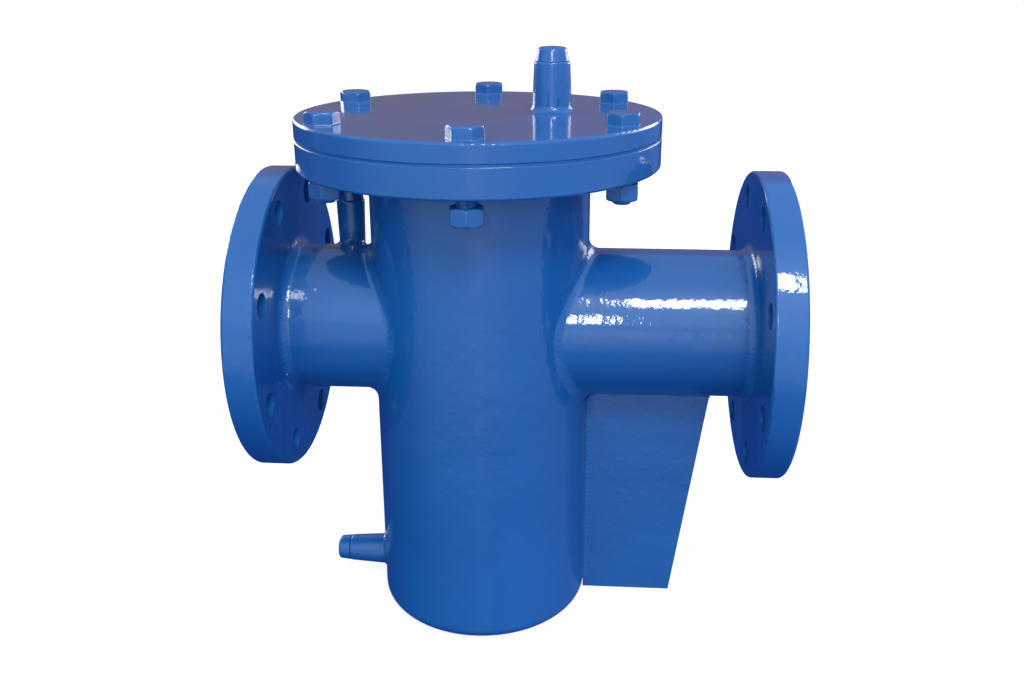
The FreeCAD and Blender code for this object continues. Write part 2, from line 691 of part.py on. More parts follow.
def branch_envelope(side):
    direction = X_AXIS * (-1 if side == "inlet" else 1)
    length = size(f"{side}_reach") - size("flange_thick")
    return Part.makeCylinder(size("pipe_od") / 2, length, Vector(0, 0, size("pipe_height")),
                             direction)


def make_branch_welds(side):
    saddle = weld_bead(body_envelope(), branch_envelope(side), size("saddle_weld"))
    add_shape(f"{side}_branch_weld", saddle)
    direction = X_AXIS * (-1 if side == "inlet" else 1)
    reach, thick = size(f"{side}_reach"), size("flange_thick")
    start = direction * (reach - thick) + Z_AXIS * size("pipe_height")
    disc = Part.makeCylinder(size("flange_od") / 2, thick, start, direction)
    pipe = Part.makeCylinder(size("pipe_od") / 2, reach / 2, start, direction * -1)
    add_shape(f"{side}_flange_weld", weld_bead(disc, pipe, size("flange_weld")))


def make_ring_weld():
    disc = Part.makeCylinder(size("cover_od") / 2, size("ring_thick"),
                             Vector(0, 0, size("ring_base")))
    pipe = Part.makeCylinder(size("body_od") / 2, size("ring_base"))
    add_shape("ring_weld", weld_bead(disc, pipe, size("ring_weld_size")))


def make_stub_welds():
    weld = size("stub_weld")
    cover_top = evaluate(full(COVER_BASE)) + size("cover_thick")
    cover = Part.makeCylinder(size("cover_od") / 2, size("cover_thick"),
                              Vector(0, 0, cover_top - size("cover_thick")))
    vent = Part.makeCone(size("vent_root") / 2, size("vent_od") / 2, size("vent_height"),
                         Vector(size("vent_across"), size("vent_back"), cover_top))
    add_shape("vent_weld", weld_bead(cover, vent, weld))
    inside = size("body_od") / 2 - size("body_wall")
    drain = Part.makeCone(size("drain_root") / 2, size("drain_od") / 2,
                          size("drain_reach") - inside,
                          Vector(-inside, 0, size("drain_height")), X_AXIS * -1)
    add_shape("drain_weld", weld_bead(body_envelope(), drain, weld))
    base = size("gauge_base")
    gauge = Part.makeCone(size("gauge_root") / 2, size("gauge_od") / 2, size("gauge_top") - base,
                          Vector(-size("gauge_across"), size("gauge_back"),
                                 size("pipe_height") + base))
    add_shape("gauge_weld", weld_bead(branch_envelope("inlet"), gauge, weld))


def make_support_welds():
    """Beads down both sides of the support plate, along the body and along the branch."""
    plate = doc.getObject("support_plate").Shape
    weld, thick = size("plate_weld"), size("plate_thick")
    top = size("pipe_height") - size("pipe_od") / 2

    def along_body(point):
        return abs(point.y - thick / 2) < 1e-3 and point.z < top - 1

    def along_branch(point):
        return abs(point.y - thick / 2) < 1e-3 and point.z > top - 1

    far = size("cover_od")
    above_round = Part.makeBox(far, far, far, Vector(0, 0, size("bottom_round")))
    upright = weld_bead(body_envelope(), plate, weld, along_body).common(above_round)
    level = weld_bead(branch_envelope("outlet"), plate, weld, along_branch)
    beads = upright.Solids + level.Solids
    beads += [bead.mirror(Vector(), Y_AXIS) for bead in beads]
    add_shape("support_welds", Part.makeCompound(beads))


def make_seal_welds():
    """Inner beads between the pipe ends and the bores of the ring and the flanges."""
    body = new_body("ring_seal_weld")
    face = "<ring_base> + <ring_thick> - 0.5"
    inner, outer = "<body_od> / 2 - <body_wall> + 1", "<ring_bore> / 2"
    revolve(body, [(inner, "<body_top>"), (outer, "<body_top>"), (outer, face)])
    for side in ("inlet", "outlet"):
        body = new_body(f"{side}_seal_weld", ("0", "0", "<pipe_height>"), OUTWARD_TURN[side])
        inner, outer = "<pipe_od> / 2 - <pipe_wall> + 1", "<flange_bore> / 2"
        end = f"<{side}_reach> - <pipe_setback>"
        revolve(body, [(inner, end), (outer, end), (outer, f"<{side}_reach> - 0.5")])


# ---- document --------------------------------------------------------------------------------


def build():
    fill_sheet()
    make_body_shell()
    make_bottom_plate()
    make_body_ring()
    for side in ("inlet", "outlet"):
        make_branch(side)
        make_flange(side)
        make_branch_welds(side)
    make_ring_weld()
    make_support_plate()
    make_support_welds()
    make_seal_welds()
    make_cover_plate()
    make_cover_gasket()
    make_cover_bolts()
    make_cover_nuts()
    make_vent_stub()
    make_drain_stub()
    make_gauge_stub()
    make_stub_welds()
    make_plugs()
    make_slanted_ring("seat_plate", "<seat_od>", "<seat_hole>", "-<seat_thick>", "<seat_thick>")
    make_slanted_ring("basket_rim", "<rim_od>", "<basket_od> - 2 * <basket_wall>", "<rim_gap>",
                      "<rim_thick>")
    make_basket_shell()
    make_mesh_liner()
    make_basket_floor()
    make_bail_lugs()
    make_basket_bail()
    doc.recompute()


def check_and_export():
    for item in doc.Objects:
        if any(word in item.State for word in ("Invalid", "Error")):
            raise ValueError(f"{item.Label}: {item.State}")
    os.makedirs("parts", exist_ok=True)
    for part in parts:
        shape = part.Shape
        if shape.isNull() or not shape.isValid() or not shape.Solids:
            raise ValueError(f"{part.Label} has no valid solid")
        shape.exportStep(f"parts/{part.Label}.step")
        box = shape.BoundBox
        print(f"{part.Label:20s} solids {len(shape.Solids):2d}  volume {shape.Volume:12.1f}"
              f"  x {box.XMin:7.1f} {box.XMax:7.1f}  y {box.YMin:7.1f} {box.YMax:7.1f}"
              f"  z {box.ZMin:7.1f} {box.ZMax:7.1f}")


build()
check_and_export()
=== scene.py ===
import json
import math

import bmesh
import bpy
from mathutils import Matrix, Vector, noise


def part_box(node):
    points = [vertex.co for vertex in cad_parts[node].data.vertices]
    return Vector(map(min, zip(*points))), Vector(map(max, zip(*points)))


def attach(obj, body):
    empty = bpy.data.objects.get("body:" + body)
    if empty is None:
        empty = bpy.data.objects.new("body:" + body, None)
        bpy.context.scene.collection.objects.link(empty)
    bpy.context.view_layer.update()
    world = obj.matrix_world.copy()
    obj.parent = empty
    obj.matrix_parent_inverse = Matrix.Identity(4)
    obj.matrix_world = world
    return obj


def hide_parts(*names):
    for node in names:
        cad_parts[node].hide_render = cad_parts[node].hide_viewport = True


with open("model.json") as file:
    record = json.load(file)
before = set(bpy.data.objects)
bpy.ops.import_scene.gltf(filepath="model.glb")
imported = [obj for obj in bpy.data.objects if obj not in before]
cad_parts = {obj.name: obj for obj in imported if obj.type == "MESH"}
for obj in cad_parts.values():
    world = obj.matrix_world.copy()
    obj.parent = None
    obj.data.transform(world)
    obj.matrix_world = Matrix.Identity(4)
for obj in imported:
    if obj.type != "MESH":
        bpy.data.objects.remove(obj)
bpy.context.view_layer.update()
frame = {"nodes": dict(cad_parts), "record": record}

MM = 0.001
TAU = math.tau
NODES = frame["nodes"]
RIGHT, UP = Vector((1, 0, 0)), Vector((0, 0, 1))


def low(node, axis):
    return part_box(node)[0][axis]


def high(node, axis):
    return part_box(node)[1][axis]


def half(node, axis):
    return (high(node, axis) - low(node, axis)) / 2


def middle(node, axis):
    return (high(node, axis) + low(node, axis)) / 2


BODY_RADIUS = half("body_shell", 0)
BRANCH_RADIUS = half("outlet_branch", 2)
BRANCH_HEIGHT = middle("outlet_flange", 2)
RING_BASE = low("body_ring", 2)
COVER_TOP = high("cover_plate", 2)
BRANCH_CENTRE = Vector((0, 0, BRANCH_HEIGHT))


# ---- node tools ------------------------------------------------------------------------------


class Graph:
    """A short way to build one material's nodes."""

    def __init__(self, tree):
        self.tree = tree
        self.tree.nodes.clear()
        self.place = self.add("ShaderNodeTexCoord").outputs["Object"]

    @classmethod
    def material(cls, name):
        material = bpy.data.materials.new(name)
        material.use_nodes = True
        graph = cls(material.node_tree)
        graph.result = material
        graph.shader = graph.add("ShaderNodeBsdfPrincipled")
        output = graph.add("ShaderNodeOutputMaterial")
        graph.join(graph.shader.outputs["BSDF"], output.inputs["Surface"])
        return graph

    def add(self, kind, **settings):
        node = self.tree.nodes.new(kind)
        for key, value in settings.items():
            setattr(node, key, value)
        return node

    def join(self, source, target):
        self.tree.links.new(source, target)

    def feed(self, socket, value):
        if isinstance(value, bpy.types.NodeSocket):
            self.join(value, socket)
        else:
            socket.default_value = value

    def math(self, operation, first, second=0.0):
        node = self.add("ShaderNodeMath", operation=operation)
        self.feed(node.inputs[0], first)
        self.feed(node.inputs[1], second)
        return node.outputs[0]

    def times(self, *factors):
        result = factors[0]
        for factor in factors[1:]:
            result = self.math("MULTIPLY", result, factor)
        return result

    def hypot(self, first, second):
        squares = self.math("ADD", self.times(first, first), self.times(second, second))
        return self.math("SQRT", squares)

    def split(self, vector=None):
        """X, Y and Z of a vector, or of the place in the object."""
        node = self.add("ShaderNodeSeparateXYZ")
        self.join(vector or self.place, node.inputs["Vector"])
        return node.outputs

    def noise(self, size, detail, roughness=0.55, stretch=(1, 1, 1)):
        """Noise whose blotches are about size metres across."""
        node = self.add("ShaderNodeTexNoise")
        node.inputs["Scale"].default_value = 0.5 / size
        node.inputs["Detail"].default_value = detail
        node.inputs["Roughness"].default_value = roughness
        mapping = self.add("ShaderNodeMapping")
        mapping.inputs["Scale"].default_value = stretch
        self.join(self.place, mapping.inputs["Vector"])
        self.join(mapping.outputs["Vector"], node.inputs["Vector"])
        return node.outputs["Fac"]

    def spots(self, size, radius):
        """Scattered round spots, one to a cell of this size: 1 inside a spot, soft at its edge."""
        feather = 0.04
        node = self.add("ShaderNodeTexVoronoi")
        node.inputs["Scale"].default_value = 1.0 / size
        self.join(self.place, node.inputs["Vector"])
        return self.ramp(node.outputs["Distance"], radius, radius + feather, 1.0, 0.0)

    def ramp(self, value, start, end, at_start=0.0, at_end=1.0, smooth=False):
        """Carries value from the span start to end over to the span at_start to at_end."""
        node = self.add("ShaderNodeMapRange")
        if smooth:
            node.interpolation_type = "SMOOTHSTEP"
        node.inputs["From Min"].default_value = start
        node.inputs["From Max"].default_value = end
        node.inputs["To Min"].default_value = at_start
        node.inputs["To Max"].default_value = at_end
        self.join(value, node.inputs["Value"])
        return node.outputs["Result"]

    def mix(self, factor, first, second, blend="MIX"):
        node = self.add("ShaderNodeMix", data_type="RGBA", blend_type=blend)
        self.feed(node.inputs["Factor"], factor)
        self.feed(node.inputs["A"], first)
        self.feed(node.inputs["B"], second)
        return node.outputs["Result"]

    def bump(self, height, strength, distance, normal=None):
        node = self.add("ShaderNodeBump")
        node.inputs["Strength"].default_value = strength
        node.inputs["Distance"].default_value = distance
        self.join(height, node.inputs["Height"])
        if normal is not None:
            self.join(normal, node.inputs["Normal"])
        return node.outputs["Normal"]

    def set(self, **values):
        """Sets or joins inputs of the material's shader by their names."""
        for name, value in values.items():
            self.feed(self.shader.inputs[name.replace("_", " ")], value)


def rgb(red, green, blue):
    return (red, green, blue, 1.0)


# ---- materials -------------------------------------------------------------------------------

DEEP_BLUE, CLEAR_BLUE = rgb(0.0065, 0.091, 0.310), rgb(0.0085, 0.105, 0.345)
SPRAYED_BLUE = rgb(0.0075, 0.10, 0.33)
DUSTY_BLUE, WORN_BLUE = rgb(0.10, 0.20, 0.46), rgb(0.42, 0.52, 0.66)
TURNED_DARK, TURNED_LIGHT = rgb(0.40, 0.39, 0.37), rgb(0.58, 0.57, 0.55)
RUST = rgb(0.22, 0.13, 0.08)
ENAMEL_SPECULAR, COAT_IOR, COAT_ROUGHNESS = 0.25, 1.5, 0.06


def enamel_look(graph, waviness=1.0):
    """Colour, roughness and normal of thick glossy blue enamel sprayed over welded steel."""
    cloud = graph.ramp(graph.noise(0.07, 2.0), 0.35, 0.65)
    base = graph.mix(cloud, DEEP_BLUE, CLEAR_BLUE)
    dust = graph.ramp(graph.noise(0.0035, 4.0, 0.7), 0.60, 0.80)
    patchy = graph.times(dust, graph.ramp(graph.noise(0.05, 2.0), 0.48, 0.70), 0.25)
    base = graph.mix(patchy, base, DUSTY_BLUE)
    worn = graph.times(graph.spots(0.021, 0.03), graph.ramp(graph.noise(0.04, 1.0), 0.62, 0.66))
    base = graph.mix(graph.times(worn, 0.6), base, WORN_BLUE)
    roughness = graph.ramp(graph.noise(0.03, 3.0), 0.3, 0.7, 0.34, 0.46)
    peel = graph.bump(graph.noise(0.0020, 2.0, 0.6), 0.8 * waviness, 0.00007)
    runs = graph.bump(graph.noise(0.0060, 3.0, 0.6), 0.8 * waviness, 0.00036, peel)
    waves = graph.bump(graph.noise(0.030, 2.0, 0.5), 0.6, 0.0011, runs)
    return base, roughness, waves


def enamel(name="blue_enamel", waviness=1.0, coat_roughness=COAT_ROUGHNESS):
    """The enamel as a whole material; waviness scales its orange peel and runs."""
    graph = Graph.material(name)
    base, roughness, normal = enamel_look(graph, waviness)
    graph.set(Base_Color=base, Roughness=roughness, Normal=normal, Coat_Normal=normal)
    graph.set(Specular_IOR_Level=ENAMEL_SPECULAR, Coat_Weight=1.0, Coat_IOR=COAT_IOR,
              Coat_Roughness=coat_roughness)
    return graph.result


def flange_finish():
    """Enamel everywhere but the raised face, which is bare steel turned with fine grooves."""
    graph = Graph.material("flange_enamel_and_turned_face")
    base, roughness, normal = enamel_look(graph)
    place = graph.split()
    bare_depth, paint_edge, groove_pitch = 2.2 * MM, 0.3 * MM, 0.8 * MM
    inlet_line = low("inlet_flange", 0) + bare_depth
    outlet_line = high("outlet_flange", 0) - bare_depth
    on_inlet = graph.ramp(place["X"], inlet_line, inlet_line + paint_edge, 1.0, 0.0)
    on_outlet = graph.ramp(place["X"], outlet_line, outlet_line + paint_edge)
    bare = graph.math("MAXIMUM", on_inlet, on_outlet)
    height = graph.math("SUBTRACT", place["Z"], BRANCH_HEIGHT)
    radius = graph.hypot(place["Y"], height)
    groove = graph.math("SINE", graph.times(radius, TAU / groove_pitch))
    turned = graph.bump(graph.times(groove, bare), 0.6, 0.00012, normal)
    tone = graph.mix(graph.noise(0.012, 4.0), TURNED_DARK, TURNED_LIGHT)
    stain = graph.ramp(graph.noise(0.02, 5.0, 0.7), 0.60, 0.72)
    tone = graph.mix(graph.times(stain, 0.5), tone, RUST)
    graph.set(Base_Color=graph.mix(bare, base, tone), Metallic=bare, Normal=turned)
    graph.set(Roughness=graph.times(roughness, graph.ramp(bare, 0, 1, 1.0, 0.8)))
    graph.set(Coat_Weight=graph.ramp(bare, 0, 1, 1.0, 0.0), Coat_Normal=normal)
    graph.set(Specular_IOR_Level=ENAMEL_SPECULAR, Coat_Roughness=COAT_ROUGHNESS,
              Coat_IOR=COAT_IOR)
    return graph.result


def stainless():
    """Bright rolled stainless sheet and rod with fine scratches."""
    graph = Graph.material("stainless")
    tone = graph.ramp(graph.noise(0.03, 3.0), 0.3, 0.7)
    graph.set(Base_Color=graph.mix(tone, rgb(0.46, 0.465, 0.475), rgb(0.58, 0.585, 0.59)),
              Metallic=1.0)
    graph.set(Roughness=graph.ramp(graph.noise(0.012, 4.0), 0.3, 0.7, 0.24, 0.40))
    scratches = graph.noise(0.0012, 2.0, 0.6, stretch=(1.0, 1.0, 0.06))
    graph.set(Normal=graph.bump(scratches, 0.3, 0.0001))
    return graph.result


def woven_mesh():
    """Fine wire cloth: two sets of wires, one round the sleeve and one along it, with the openings
    between them painted near-black as painted shade.
    """
    graph = Graph.material("steel_mesh")
    place = graph.split()
    wire_pitch = 1.3 * MM
    round_angle = graph.math("ARCTAN2", place["Y"], place["X"])
    along = graph.math("SINE", graph.times(place["Z"], TAU / wire_pitch))
    wires_round = round(TAU * half("mesh_liner", 1) / wire_pitch)
    across = graph.math("SINE", graph.times(round_angle, wires_round))
    weave = graph.math("MAXIMUM", along, across)
    # The openings between the wires are painted near-black: painted shade seen through the cloth.
    shade = graph.ramp(weave, 0.1, 0.9)
    graph.set(Base_Color=graph.mix(shade, rgb(0.05, 0.05, 0.055), rgb(0.50, 0.51, 0.52)))
    graph.set(Metallic=graph.ramp(weave, 0.1, 0.5), Roughness=0.36)
    graph.set(Normal=graph.bump(weave, 0.8, 0.0003))
    return graph.result


def gasket_sheet():
    """Pressed fibre sheet whose outer edge was sprayed over with the enamel."""
    graph = Graph.material("gasket_sheet")
    place = graph.split()
    fibre = graph.noise(0.0012, 5.0, 0.7)
    outside = half("cover_gasket", 0)
    sprayed = graph.ramp(graph.hypot(place["X"], place["Y"]), outside - 0.8 * MM,
                         outside - 0.3 * MM)
    sheet = graph.mix(fibre, rgb(0.018, 0.022, 0.020), rgb(0.055, 0.062, 0.055))
    graph.set(Base_Color=graph.mix(sprayed, sheet, SPRAYED_BLUE))
    graph.set(Roughness=graph.ramp(sprayed, 0, 1, 0.85, 0.4))
    graph.set(Normal=graph.bump(fibre, 0.4, 0.0003))
    return graph.result


BY_SLOT = {"blue_enamel": enamel(), "stainless": stainless(), "steel_mesh": woven_mesh(),
           "gasket_sheet": gasket_sheet()}
FLANGE_FINISH = flange_finish()
FLAT_PLATE_FINISH = enamel("blue_enamel_on_flat_plate", waviness=0.35, coat_roughness=0.09)
BY_NODE = {"inlet_flange": FLANGE_FINISH, "outlet_flange": FLANGE_FINISH,
           "cover_plate": FLAT_PLATE_FINISH}


def dress_nodes():
    """Every CAD node gets the finished material of its slot, or its own where it has one."""
    for part in frame["record"]["subparts"]:
        name = part["node"]
        finish = BY_NODE.get(name, BY_SLOT[part["material_slot"]])
        for slot in NODES[name].material_slots:
            slot.material = finish


# ---- pieces ----------------------------------------------------------------------------------


def add_piece(name, points, faces, body, slot, replaced, crease):
    """A mesh piece from points and faces, smooth but for edges sharper than crease degrees."""
    mesh = bpy.data.meshes.new(name)
    mesh.from_pydata(points, [], faces)
    shell = bmesh.new()
    shell.from_mesh(mesh)
    bmesh.ops.remove_doubles(shell, verts=shell.verts, dist=1e-6)
    bmesh.ops.recalc_face_normals(shell, faces=shell.faces)
    shell.to_mesh(mesh)
    shell.free()
    mesh.shade_smooth()
    mesh.set_sharp_from_angle(angle=math.radians(crease))
    piece = bpy.data.objects.new(name, mesh)
    bpy.context.scene.collection.objects.link(piece)
    mesh.materials.append(BY_SLOT[slot])
    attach(piece, body)
    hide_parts(*replaced)
    return piece


class Tube:
    """A round outer surface that a weld runs on."""

    def __init__(self, origin, axis, radius):
        self.origin, self.axis, self.radius = origin, axis, radius

    def square(self, vector):
        return vector - self.axis * vector.dot(self.axis)

    def normal(self, point):
        return self.square(point - self.origin).normalized()

    def meet(self, point, direction):
        """Where a line from outside first meets the surface."""
        start, run = self.square(point - self.origin), self.square(direction)
        a, b = run.dot(run), start.dot(run)
        root = b * b - a * (start.dot(start) - self.radius ** 2)
        return point + direction * ((-b - math.sqrt(max(root, 0.0))) / a)

    def sink(self, point, depth):
        outward = self.normal(point)
        return point + outward * (self.radius - depth - self.square(point - self.origin).length)


class Plane:
    """A flat surface that a weld runs on."""

    def __init__(self, origin, outward):
        self.origin, self.outward = origin, outward

    def normal(self, point):
        return self.outward

    def meet(self, point, direction):
        gap = (self.origin - point).dot(self.outward)
        return point + direction * (gap / direction.dot(self.outward))

    def sink(self, point, depth):
        return point + self.outward * ((self.origin - point).dot(self.outward) - depth)


# ---- welds -----------------------------------------------------------------------------------

# How deep a weld's toes go under the surface, the step along a weld, and the spans across one.
SINK = 0.15 * MM
STEP = 0.8 * MM
PROFILE = 8
# Legs of the fillets.
SADDLE_LEG, FLANGE_LEG, RING_LEG, STUB_LEG, PLATE_LEG = 10 * MM, 8 * MM, 6 * MM, 4.5 * MM, 5 * MM
# The ripples of a bead: their pitch, the crown's height, and how far they bow back mid-bead.
RIPPLE_PITCH, SWELL, RIPPLE_BOW = 4.2 * MM, 0.35 * MM, 2.4


def bead(name, stations, closed, body, replaced):
    """A painted weld along stations of (toe on one piece, inside corner, toe on the other)."""
    corners = [corner for _, corner, _ in stations]
    steps = [(corners[number] - corners[number - 1]).length for number in range(len(corners))]
    if not closed:
        steps[0] = 0.0
    length = sum(steps)
    ripples = max(1, round(length / RIPPLE_PITCH))
    points, travelled = [], 0.0
    for (first, corner, last), step in zip(stations, steps):
        travelled += step
        push = ((first + last) / 2 - corner).normalized()
        for number in range(PROFILE + 1):
            share = number / PROFILE
            spot = (first * (1 - share) ** 2 + corner * (2 * share * (1 - share))
                    + last * share ** 2)
            arch = math.sin(math.pi * share)
            wave = math.cos(TAU * ripples * travelled / length - RIPPLE_BOW * arch)
            wobble = noise.noise(spot * 90) * 0.9
            points.append(spot + push * (SWELL * arch * (0.9 + 0.22 * wave + wobble)))
        points.append(corner)
    width = PROFILE + 2
    rows = len(stations)
    faces = []
    for row in range(rows if closed else rows - 1):
        here, there = row * width, (row + 1) % rows * width
        for number in range(width):
            beside = (number + 1) % width
            faces.append((here + number, here + beside, there + beside, there + number))
    if not closed:
        faces += [tuple(range(width)), tuple(range((rows - 1) * width, rows * width))]
    return add_piece(name, points, faces, body, "blue_enamel", replaced, crease=60)


def collar(name, origin, away, radius, surface, leg, body, replaced):
    """A weld all round a tube that stands on a surface; away points along the tube."""
    side = away.orthogonal().normalized()
    front = away.cross(side)
    count = int(TAU * radius / STEP)
    stations = []
    for number in range(count):
        angle = TAU * number / count
        out = side * math.cos(angle) + front * math.sin(angle)
        corner = surface.meet(origin + out * radius + away, -away)
        normal = surface.normal(corner)
        slide = (out - normal * out.dot(normal)).normalized()
        reach = leg / math.tan(away.angle(slide) / 2)
        toe_up = corner + away * reach - out * SINK
        toe_out = surface.sink(corner + slide * reach, SINK)
        stations.append((toe_up, corner, toe_out))
    return bead(name, stations, True, body, replaced)


BODY_WALL = Tube(Vector(), UP, BODY_RADIUS)


def add_round_welds():
    """The saddles of both branches, the fillets behind both flanges and the one under the ring."""
    for side, away in (("inlet", -RIGHT), ("outlet", RIGHT)):
        collar(f"{side}_saddle_weld_bead", BRANCH_CENTRE, away, BRANCH_RADIUS, BODY_WALL,
               SADDLE_LEG, "housing", [f"{side}_branch_weld"])
        back = (high if side == "inlet" else low)(f"{side}_flange", 0)
        face = Plane(BRANCH_CENTRE + RIGHT * back, -away)
        collar(f"{side}_flange_weld_bead", BRANCH_CENTRE, -away, BRANCH_RADIUS, face,
               FLANGE_LEG, "housing", [f"{side}_flange_weld"])
    under_ring = Plane(UP * RING_BASE, -UP)
    collar("ring_weld_bead", Vector(), -UP, BODY_RADIUS, under_ring, RING_LEG, "housing",
           ["ring_weld"])


def add_stub_welds():
    """The three stubs' welds. The stubs taper: a share of the widest radius is left at the weld."""
    vent = Vector((middle("vent_stub", 0), middle("vent_stub", 1), 0))
    collar("vent_weld_bead", vent, UP, half("vent_stub", 0), Plane(UP * COVER_TOP, UP), STUB_LEG,
           "cover", ["vent_weld"])
    drain, drain_share = UP * middle("drain_stub", 2), 0.967
    collar("drain_weld_bead", drain, -RIGHT, half("drain_stub", 2) * drain_share, BODY_WALL,
           STUB_LEG, "housing", ["drain_weld"])
    gauge = Vector((middle("gauge_stub", 0), middle("gauge_stub", 1), BRANCH_HEIGHT))
    gauge_share = 0.91
    collar("gauge_weld_bead", gauge, UP, half("gauge_stub", 0) * gauge_share,
           Tube(BRANCH_CENTRE, RIGHT, BRANCH_RADIUS), STUB_LEG, "housing", ["gauge_weld"])


def plate_path():
    """Up the body, round the branch weld and out under the branch; each with the way inward."""
    wall, ceiling, turn = BODY_RADIUS, BRANCH_HEIGHT - BRANCH_RADIUS, 11 * MM
    start, end = 10 * MM, high("support_plate", 0)
    rise, run, arc = ceiling - turn - start, end - wall - turn, turn * math.pi / 2
    path = []
    for number in range(int(rise / STEP)):
        path.append((Vector((wall, 0, start + number * STEP)), RIGHT))
    arc_steps = int(arc / STEP)
    for number in range(arc_steps + 1):
        angle = math.pi / 2 * number / arc_steps
        inward = Vector((math.cos(angle), 0, -math.sin(angle)))
        path.append((Vector((wall + turn, 0, ceiling - turn)) - inward * turn, inward))
    for number in range(1, int(run / STEP) + 1):
        path.append((Vector((wall + turn + number * STEP, 0, ceiling)), -UP))
    return path


def add_plate_welds():
    """A run on each side of the support plate; its toe on the pipes dips by fall."""
    fall = 0.7 * MM
    face = half("support_plate", 1)
    for label, side in (("front", -1), ("back", 1)):
        stations = []
        for point, inward in plate_path():
            corner = point + Vector((0, side * face, 0))
            toe_plate = corner + inward * PLATE_LEG - Vector((0, side * SINK, 0))
            toe_pipe = corner + Vector((0, side * PLATE_LEG, 0)) - inward * fall
            stations.append((toe_plate, corner, toe_pipe))
        replaced = ["support_welds"] if side < 0 else []
        bead(f"plate_weld_{label}", stations, False, "housing", replaced)


# ---- fasteners -------------------------------------------------------------------------------

HEX_FLATS = 22 * MM
HEAD_HEIGHT = high("cover_bolts", 2) - COVER_TOP
NUT_HEIGHT = 13 * MM
NUT_GAP, FRONT_NUT_GAP = 2 * MM, 6 * MM
SHANK_RADIUS = 7 * MM
THREAD_CREST = SHANK_RADIUS - 0.05 * MM
CROWN_RADIUS = 0.465 * HEX_FLATS
CROWN_SLOPE = math.tan(math.radians(30))
# How far the paint rounds the edges of heads and nuts.
PAINT_ROUND = 1.6 * MM
BOLT_CIRCLE_RADIUS = 120 * MM
# Degrees: the place of the front bolt, and how each head and nut stopped, from the front one on.
FIRST_BOLT = 272
HEAD_TURNS = (-1, 22, 28, 30, -5, 15)
NUT_TURNS = (37, 28, 0, 20, 40, 27)
# Degrees from one corner of a hexagon to the next, closer together near the corners.
SIDE_ANGLES = (0, 1.5, 4, 9, 18, 30, 42, 51, 56, 58.5)


def soften(outline, radius):
    """Rounds the inner corners of an open outline of (radius, height) pairs."""
    result = [outline[0]]
    for before, corner, after in zip(outline, outline[1:], outline[2:]):
        before, corner, after = Vector(before), Vector(corner), Vector(after)
        into, out_of = before - corner, after - corner
        start = corner + into.normalized() * min(radius, into.length * 0.45)
        end = corner + out_of.normalized() * min(radius, out_of.length * 0.45)
        for share in (0.0, 0.25, 0.5, 0.75, 1.0):
            result.append(tuple(start * (1 - share) ** 2 + corner * (2 * share * (1 - share))
                                + end * share ** 2))
    return result + [outline[-1]]


def hex_reach(offset):
    """From the axis to the edge of a hexagon, offset degrees past a corner, corners eased."""
    to_side = HEX_FLATS / 2 / math.cos(math.radians(offset % 60 - 30))
    to_eased_corner = HEX_FLATS * 0.568
    return min(to_side, to_eased_corner)


def skin(place, turn, outline_at):
    """A turned skin about Z: outline_at(offset, angle) lists (radius, height) pairs."""
    offsets = [60 * side + step for side in range(6) for step in SIDE_ANGLES]
    points, faces = [], []
    for offset in offsets:
        angle = math.radians(turn + offset)
        outline = outline_at(offset, angle)
        for reach, height in outline:
            points.append(place + Vector((reach * math.cos(angle), reach * math.sin(angle),
                                          height)))
    rows, columns = len(outline), len(offsets)
    for column in range(columns):
        here, there = column * rows, (column + 1) % columns * rows
        for row in range(rows - 1):
            faces.append((here + row, there + row, there + row + 1, here + row + 1))
    return points, faces


def thread(start, end, angle):
    """Points up a metric thread of 2 mm pitch at one angle round it."""
    pitch, depth, per_turn = 2 * MM, 0.6 * MM, 6
    count = round((end - start) / pitch * per_turn)
    points = []
    for number in range(count + 1):
        height = start + (end - start) * number / count
        phase = (height / pitch - angle / TAU) % 1.0
        points.append((THREAD_CREST - depth * abs(2 * phase - 1), height))
    return points


def bolt_outline(offset, angle):
    """From the end of the shank up to the middle of the painted head; height 0 is its seat."""
    bottom, tip_chamfer = low("cover_bolts", 2) - COVER_TOP, 1.2 * MM
    thread_top, neck_base, seat, paint_skirt = -19 * MM, -18 * MM, -0.1 * MM, 0.7 * MM
    reach = hex_reach(offset)
    bevel = (reach - CROWN_RADIUS) * CROWN_SLOPE
    tip = [(0, bottom), (SHANK_RADIUS - tip_chamfer, bottom)]
    neck = [(THREAD_CREST, neck_base), (THREAD_CREST, seat)]
    head = soften([(reach + paint_skirt, seat), (reach, 0.5 * MM), (reach, HEAD_HEIGHT - bevel),
                   (CROWN_RADIUS, HEAD_HEIGHT), (0, HEAD_HEIGHT)], PAINT_ROUND)
    return tip + thread(bottom + tip_chamfer, thread_top, angle) + neck + head


def nut_outline(offset, angle):
    """Round the section of a nut, from its bore out and back."""
    reach, bore, chamfer = hex_reach(offset), SHANK_RADIUS + 0.1 * MM, 0.8 * MM
    bevel = (reach - CROWN_RADIUS) * CROWN_SLOPE
    ring = [(bore, chamfer), (bore + chamfer, 0), (CROWN_RADIUS, 0), (reach, bevel),
            (reach, NUT_HEIGHT - bevel), (CROWN_RADIUS, NUT_HEIGHT),
            (bore + chamfer, NUT_HEIGHT), (bore, NUT_HEIGHT - chamfer)]
    softened = soften(ring, PAINT_ROUND)
    return softened + [softened[0]]


